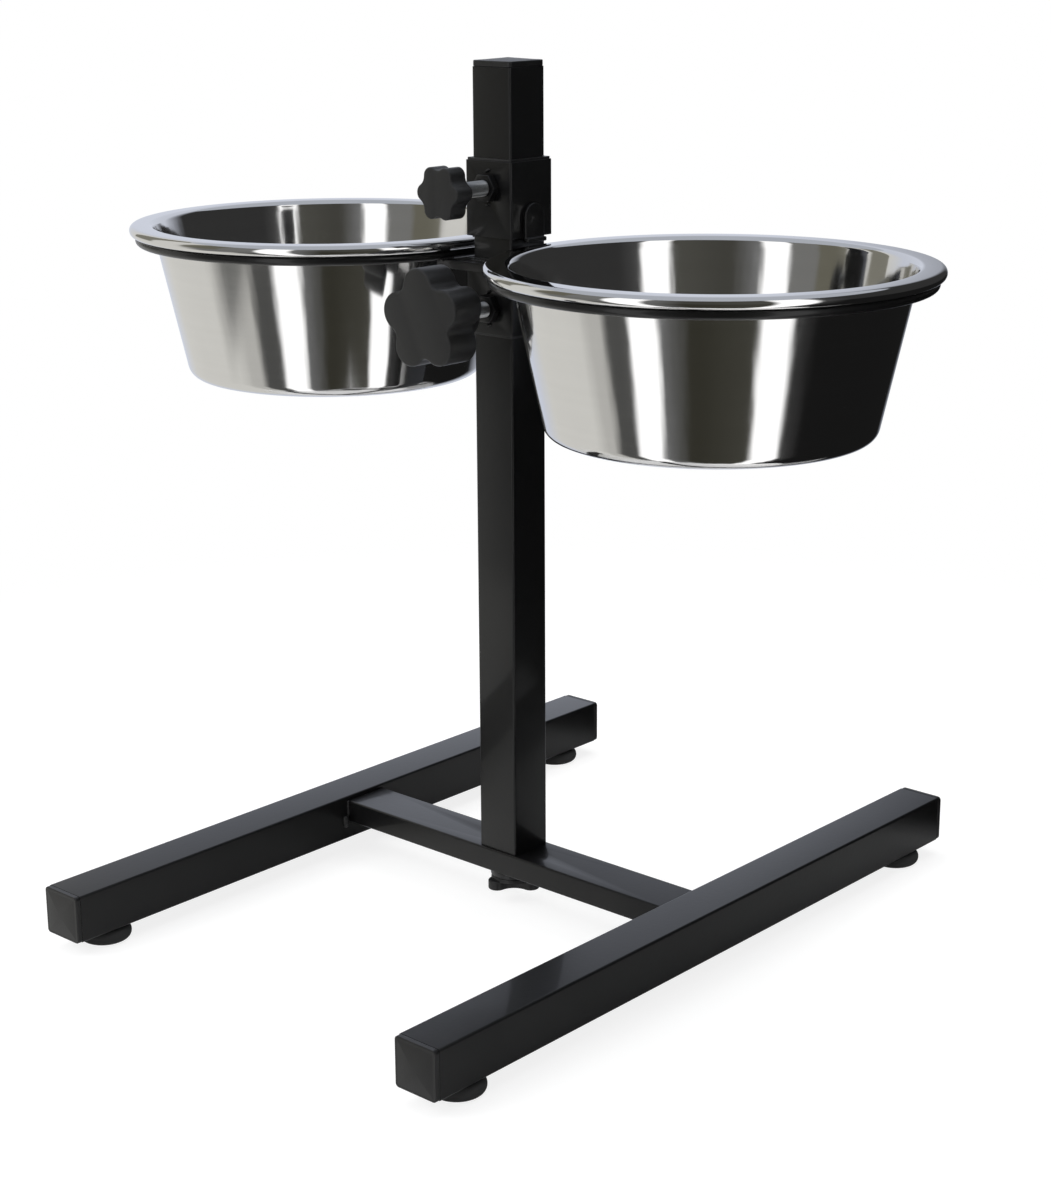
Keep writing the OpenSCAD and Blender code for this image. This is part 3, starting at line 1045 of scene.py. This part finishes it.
@dataclass
class WeldBead:
    """Row of overlapping weld scales along a joint."""

    name: str
    node: str
    start: Vector
    end: Vector
    radius: float
    scales: int
    small: float = 0.86

    def build(self) -> None:
        """Lays the scales along the joint, every other one a little smaller."""
        bm = bmesh.new()
        for i in range(self.scales):
            place = self.start.lerp(self.end, i / (self.scales - 1))
            radius = self.radius * (1.0 if i % 2 else self.small)
            bmesh.ops.create_icosphere(bm, subdivisions=3, radius=radius, matrix=Matrix.Translation(place))
        Bench.piece(bm, self.name, self.node, COAT, stands_for=False, crease=60.0)


@dataclass
class Welding:
    """The welds of the base, of the carriage and of the nuts on the sleeves."""

    bead: float = 1.1 * MM
    pitch: float = 1.2 * MM
    start_bead: float = 2.3 * MM
    start_scales: int = 4
    tack: float = 0.9 * MM
    tack_scales: int = 3
    tack_slope: float = 0.4
    tack_out: float = 8.3 * MM
    arm_reach: float = 11.0 * MM
    rod_reach: float = 3.0 * MM
    rod_side: float = 0.7

    def build(self) -> None:
        """Lays all the beads."""
        self._base()
        for arm in ("front_arm", "rear_arm"):
            self._arm(arm)
        for sleeve in ("lower", "upper"):
            self._tacks(sleeve)

    def _row(self, name: str, node: str, start: Vector, end: Vector) -> None:
        """Lays one bead with evenly spaced scales."""
        scales = round((end - start).length / self.pitch) + 1
        WeldBead(name, node, start, end, self.bead, scales).build()

    def _base(self) -> None:
        """Joins the crossbar to the legs, with a thick start at the front of each joint."""
        low, high, _ = Bench.box("crossbar")
        for side, x in ((Side.LEFT, low.x), (Side.RIGHT, high.x)):
            for end, y in (("front", low.y), ("rear", high.y)):
                ends = (Vector((x, y, z)) for z in (low.z + self.bead, high.z - self.bead))
                self._row(f"{side.value}_{end}_bar_weld", "crossbar", *ends)
            heights = (low.z - self.bead, low.z + self.start_bead)
            ends = (Vector((x, low.y - self.start_bead, z)) for z in heights)
            start = f"{side.value}_bar_weld_start"
            WeldBead(start, "crossbar", *ends, self.start_bead, self.start_scales).build()

    def _arm(self, arm: str) -> None:
        """Joins an arm to the carriage and to both rings.

        Args:
            arm: The arm's node.
        """
        low, high, middle = Bench.box(arm)
        face = max(low.y, high.y, key=lambda y: -abs(y))
        ends = (Vector((x, face, high.z)) for x in (-self.arm_reach, self.arm_reach))
        self._row(f"{arm}_sleeve_weld", arm, *ends)
        for side, sign in ((Side.LEFT, -1.0), (Side.RIGHT, 1.0)):
            ring_low, ring_high, centre = Bench.box(f"{side.value}_ring")
            rod = (ring_high.z - ring_low.z) / 2.0
            radius = (ring_high.x - ring_low.x) / 2.0 - rod
            out = Vector((-sign * math.sqrt(radius**2 - middle.y**2), middle.y, 0.0))
            along = Vector((-out.y, out.x, 0.0)).normalized() * self.rod_reach
            aside = self.rod_side * rod
            for place, reach in (("outer", radius + aside), ("inner", radius - aside)):
                spot = Vector((centre.x, centre.y, high.z)) + out.normalized() * reach
                self._row(f"{arm}_{side.value}_{place}_weld", arm, spot - along, spot + along)

    def _tacks(self, sleeve: str) -> None:
        """Sets two short tacks above and below a sleeve's nut.

        Args:
            sleeve: Which sleeve, as its nodes' names start.
        """
        face = Bench.box(f"{sleeve}_sleeve")[0].y
        axis = Bench.box(f"{sleeve}_stud")[2]
        for name, rise in (("upper", self.tack_out), ("lower", -self.tack_out)):
            spot = Vector((axis.x, face, axis.z + rise))
            half = Vector((self.tack, 0.0, self.tack_slope * self.tack))
            tack = f"{sleeve}_nut_{name}_tack"
            ends = (spot - half, spot + half)
            WeldBead(tack, f"{sleeve}_sleeve", *ends, self.tack, self.tack_scales).build()


@dataclass(frozen=True)
class Card:
    """A card or strip light round the stand, between two azimuths in degrees; each fades into the next."""

    name: str
    start: float
    end: float
    colour: Colour


CARDS = (
    Card("pale_wall", -180.0, -132.0, (0.50, 0.495, 0.47)),
    Card("wall_shade", -122.0, -114.0, (0.38, 0.376, 0.357)),
    Card("dark_gap", -109.0, -96.0, (0.058, 0.058, 0.056)),
    Card("left_strip_light", -92.5, -77.0, (1.0, 1.0, 1.0)),
    Card("left_spill", -73.5, -71.5, (0.105, 0.106, 0.106)),
    Card("dark_room", -57.0, -50.0, (0.027, 0.026, 0.020)),
    Card("room_glow", -28.0, -22.0, (0.039, 0.038, 0.031)),
    Card("right_strip_light", -19.0, -5.5, (1.0, 1.0, 1.0)),
    Card("right_spill", -2.5, -1.5, (0.031, 0.031, 0.031)),
    Card("black_flag", 9.0, 92.0, (0.007, 0.007, 0.007)),
    Card("window", 116.0, 160.0, (0.45, 0.475, 0.54)),
)


@dataclass
class Studio:
    """White sweep, cards, soft lamps and the camera of the photograph; turns are parts of a full circle."""

    eye: Vector = Vector((0.7858, -0.8648, 0.5080))
    yaw: float = 41.91
    pitch: float = 16.2
    roll: float = -0.32
    lens: float = 69.61
    floor_size: float = 30.0
    wrap_radius: float = 0.77
    wrap_top: float = 1.0
    wrap_foot: float = -1.2
    wrap_glow: float = 1.5
    wrap_facets: int = 96
    ceiling: Colour = (0.34, 0.36, 0.40)
    haze: Colour = (0.5, 0.5, 0.5)
    slat: Colour = (0.10, 0.095, 0.07)
    near: tuple[float, float] = (0.18, 0.26)
    far: tuple[float, float] = (0.4, 0.75)
    floor_clear: float = 0.5
    paper: float = 0.8
    shadow: float = 0.3
    floor_glow: float = 0.82
    sky: tuple[float, float, float, float] = (0.95, 0.97, 1.0, 1.0)
    sky_glow: float = 0.28
    grey_wall: Colour = (0.125, 0.125, 0.12)
    grey_start: tuple[float, float] = (0.1, 0.15)
    grey_end: tuple[float, float] = (0.239, 0.231)
    grey_foot: tuple[float, float] = (-0.1, -0.04)
    upper_room: tuple[float, float] = (0.28, 0.36)
    haze_share: float = 0.035
    slat_share: float = 0.85
    slat_waves: float = 50.0
    slat_shift: float = 0.4
    slat_edge: float = 0.3
    slat_turn: tuple[float, float] = (0.235, 0.225)
    aim: Vector = Vector((0.0, 0.0, 0.2))

    def build(self) -> None:
        """Sets up floor, reflections, lamps, world and camera."""
        bpy.context.scene.view_settings.view_transform = "Standard"
        self._floor()
        self._wrap()
        self._world()
        self._lamp("front_left_softbox", Vector((-0.9, -1.5, 1.3)), 1.4, 26.0)
        self._lamp("overhead_softbox", Vector((-0.2, 0.2, 1.9)), 1.6, 24.0)
        self._lamp("right_fill", Vector((1.8, -0.6, 0.9)), 1.2, 2.5)
        self._camera()

    def _floor(self) -> None:
        """Lays the floor, which is white to the eye and keeps the stand's shadow."""
        bm = bmesh.new()
        bmesh.ops.create_grid(bm, x_segments=1, y_segments=1, size=self.floor_size / 2.0)
        floor = self._stage_piece(bm, "floor")
        graph = Graph(floor.data.materials[0].node_tree)
        path = graph.node("ShaderNodeLightPath", output="Is Camera Ray")
        seen, mirrored = path, path.output("Is Glossy Ray")
        parts = graph.node("ShaderNodeSeparateXYZ", None, {0: graph.coords()}, "X")
        x, y = parts.math("ABSOLUTE"), parts.output("Y").math("ABSOLUTE")
        beside = graph.remap(x, *self.near).math("MAXIMUM", graph.remap(y, *self.near))
        far = graph.remap((x * x + y * y) ** 0.5, *self.far)
        paper = graph.node("ShaderNodeBsdfDiffuse", None, {"Color": grey(self.paper)})
        shadow = graph.node("ShaderNodeBsdfDiffuse", None, {"Color": grey(self.shadow)})
        glow = graph.node("ShaderNodeEmission", None, {"Color": grey(1.0), "Strength": self.floor_glow})
        white = graph.node("ShaderNodeEmission", None, {"Color": grey(1.0), "Strength": 1.0})
        clear = graph.node("ShaderNodeBsdfTransparent")
        close = graph.node("ShaderNodeAddShader", None, {0: shadow, 1: glow})
        for_eye = graph.node("ShaderNodeMixShader", None, {0: far, 1: close, 2: white})
        lit = graph.node("ShaderNodeMixShader", None, {0: seen, 1: paper, 2: for_eye})
        passing = mirrored * beside.math("MAXIMUM", self.floor_clear)
        whole = graph.node("ShaderNodeMixShader", None, {0: passing, 1: lit, 2: clear})
        graph.node("ShaderNodeOutputMaterial", None, {"Surface": whole})

    def _wrap(self) -> None:
        """Hangs pale and dark cards, two strip lights and a ceiling, which only reflections see."""
        bm = bmesh.new()
        pen = Pen(bm, (self.wrap_radius, 0.0, self.wrap_foot), (0.0, -1.0, 0.0))
        pen.line((self.wrap_radius, 0.0, self.wrap_top)).line((0.0, 0.0, self.wrap_top))
        Bench.turn(bm, self.wrap_facets)
        wrap = self._stage_piece(bm, "card_wrap")
        LOG.info("cards: %s", ", ".join(card.name for card in CARDS))
        for seen_by in ("camera", "diffuse", "transmission", "shadow", "volume_scatter"):
            setattr(wrap, f"visible_{seen_by}", False)
        graph = Graph(wrap.data.materials[0].node_tree)
        parts = graph.node("ShaderNodeSeparateXYZ", None, {0: graph.coords()}, "X")
        turn = parts.output("Y").math("ARCTAN2", parts) / (2.0 * math.pi) + 0.5
        stops = [((az + 180.0) / 360.0, card.colour) for card in CARDS for az in (card.start, card.end)]
        stops.append((1.0, CARDS[0].colour))
        cards = graph.node("ShaderNodeValToRGB", {"stops": stops}, {0: turn}, "Color")
        height = parts.output("Z")
        grey_turn = graph.remap(turn, *self.grey_start) * graph.remap(turn, *self.grey_end)
        grey_side = grey_turn * graph.remap(height, *self.grey_foot)
        walls = graph.blend(grey_side, cards, self.grey_wall)
        upper = graph.remap(height, *self.upper_room)
        wave = (turn * self.slat_waves + self.slat_shift).math("SINE")
        slats = graph.remap(wave, -self.slat_edge, self.slat_edge) * graph.remap(turn, *self.slat_turn)
        hazy = graph.blend(upper * self.haze_share, walls, self.haze)
        room = graph.blend(upper * slats * self.slat_share, hazy, self.slat)
        ceiling = graph.remap(height, self.wrap_top - 0.01, self.wrap_top - 0.005)
        lit = graph.blend(ceiling, room, self.ceiling)
        glow = graph.node("ShaderNodeEmission", None, {"Color": lit, "Strength": self.wrap_glow})
        graph.node("ShaderNodeOutputMaterial", None, {"Surface": glow})

    def _world(self) -> None:
        """Fills the background: white to the eye and in reflections, soft grey as light."""
        world = bpy.data.worlds.new("studio")
        bpy.context.scene.world = world
        world.use_nodes = True
        graph = Graph(world.node_tree)
        path = graph.node("ShaderNodeLightPath", output="Is Camera Ray")
        seen = path
        for other in ("Is Transmission Ray", "Is Glossy Ray"):
            seen = seen.math("MAXIMUM", path.output(other))
        light = graph.node("ShaderNodeBackground", None, {"Color": self.sky, "Strength": self.sky_glow})
        white = graph.node("ShaderNodeBackground", None, {"Color": grey(1.0), "Strength": 1.0})
        both = graph.node("ShaderNodeMixShader", None, {0: seen, 1: light, 2: white})
        graph.node("ShaderNodeOutputWorld", None, {"Surface": both})

    def _lamp(self, name: str, place: Vector, size: float, watts: float) -> None:
        """Hangs a square soft lamp that faces the stand.

        Args:
            name: The lamp's name.
            place: Where it hangs.
            size: The length of its sides.
            watts: Its power.
        """
        lamp = bpy.data.lights.new(name, "AREA")
        lamp.size = size
        lamp.energy = watts
        made = bpy.data.objects.new(name, lamp)
        made.location = place
        made.rotation_euler = (self.aim - place).to_track_quat("-Z", "Y").to_euler()
        made.visible_glossy = False
        bpy.context.scene.collection.objects.link(made)

    def _camera(self) -> None:
        """Places the camera where the photograph was taken from."""
        yaw, pitch, roll = (math.radians(a) for a in (self.yaw, self.pitch, self.roll))
        across, along = math.sin(yaw), math.cos(yaw)
        forward = Vector((-across * math.cos(pitch), along * math.cos(pitch), -math.sin(pitch)))
        level = Vector((along, across, 0.0))
        rise = level.cross(forward)
        right = math.cos(roll) * level + math.sin(roll) * rise
        up = right.cross(forward)
        camera = bpy.data.cameras.new("camera")
        camera.lens = self.lens
        camera.sensor_width = 36.0
        camera.sensor_fit = "AUTO"
        camera.clip_start = 0.01
        made = bpy.data.objects.new("camera", camera)
        made.matrix_world = Matrix.Translation(self.eye) @ Matrix((right, up, -forward)).transposed().to_4x4()
        bpy.context.scene.collection.objects.link(made)
        bpy.context.scene.camera = made

    @staticmethod
    def _stage_piece(bm: BMesh, name: str) -> bpy.types.Object:
        """Makes a stage object with an empty material.

        Args:
            bm: Its mesh, which is used up.
            name: Its name.

        Returns:
            The object.
        """
        mesh = bpy.data.meshes.new(name)
        bm.to_mesh(mesh)
        bm.free()
        material = bpy.data.materials.new(name)
        material.use_nodes = True
        mesh.materials.append(material)
        made = bpy.data.objects.new(name, mesh)
        bpy.context.scene.collection.objects.link(made)
        return made


def main() -> None:
    """Builds and dresses the stand, then sets up the studio."""
    logging.basicConfig(level=logging.INFO, format="%(name)s: %(message)s")
    EasedStock(COAT, COATED_STOCK).build()
    EasedStock(COAT, ("left_tab", "right_tab"), edge=0.6 * MM).build()
    EasedStock(LINER, ("lower_liner", "upper_liner", "base_spacer")).build()
    for side in Side:
        for end, facing in (("front", Facing.FRONT), ("rear", Facing.REAR)):
            EndCap(f"{side.value}_{end}_cap", facing).build()
            Foot(f"{side.value}_{end}_foot", f"{side.value}_leg").build()
        BowlRing(side).build()
        Bowl(side).build()
    EndCap("post_cap", Facing.UP).build()
    for knob in KNOBS:
        ThreadedStud(knob.stud, knob.facing).build()
        knob.build()
    Bench.dress("post_insert", ZINC)
    Welding().build()
    Studio().build()


if __name__ == "__main__":
    main()
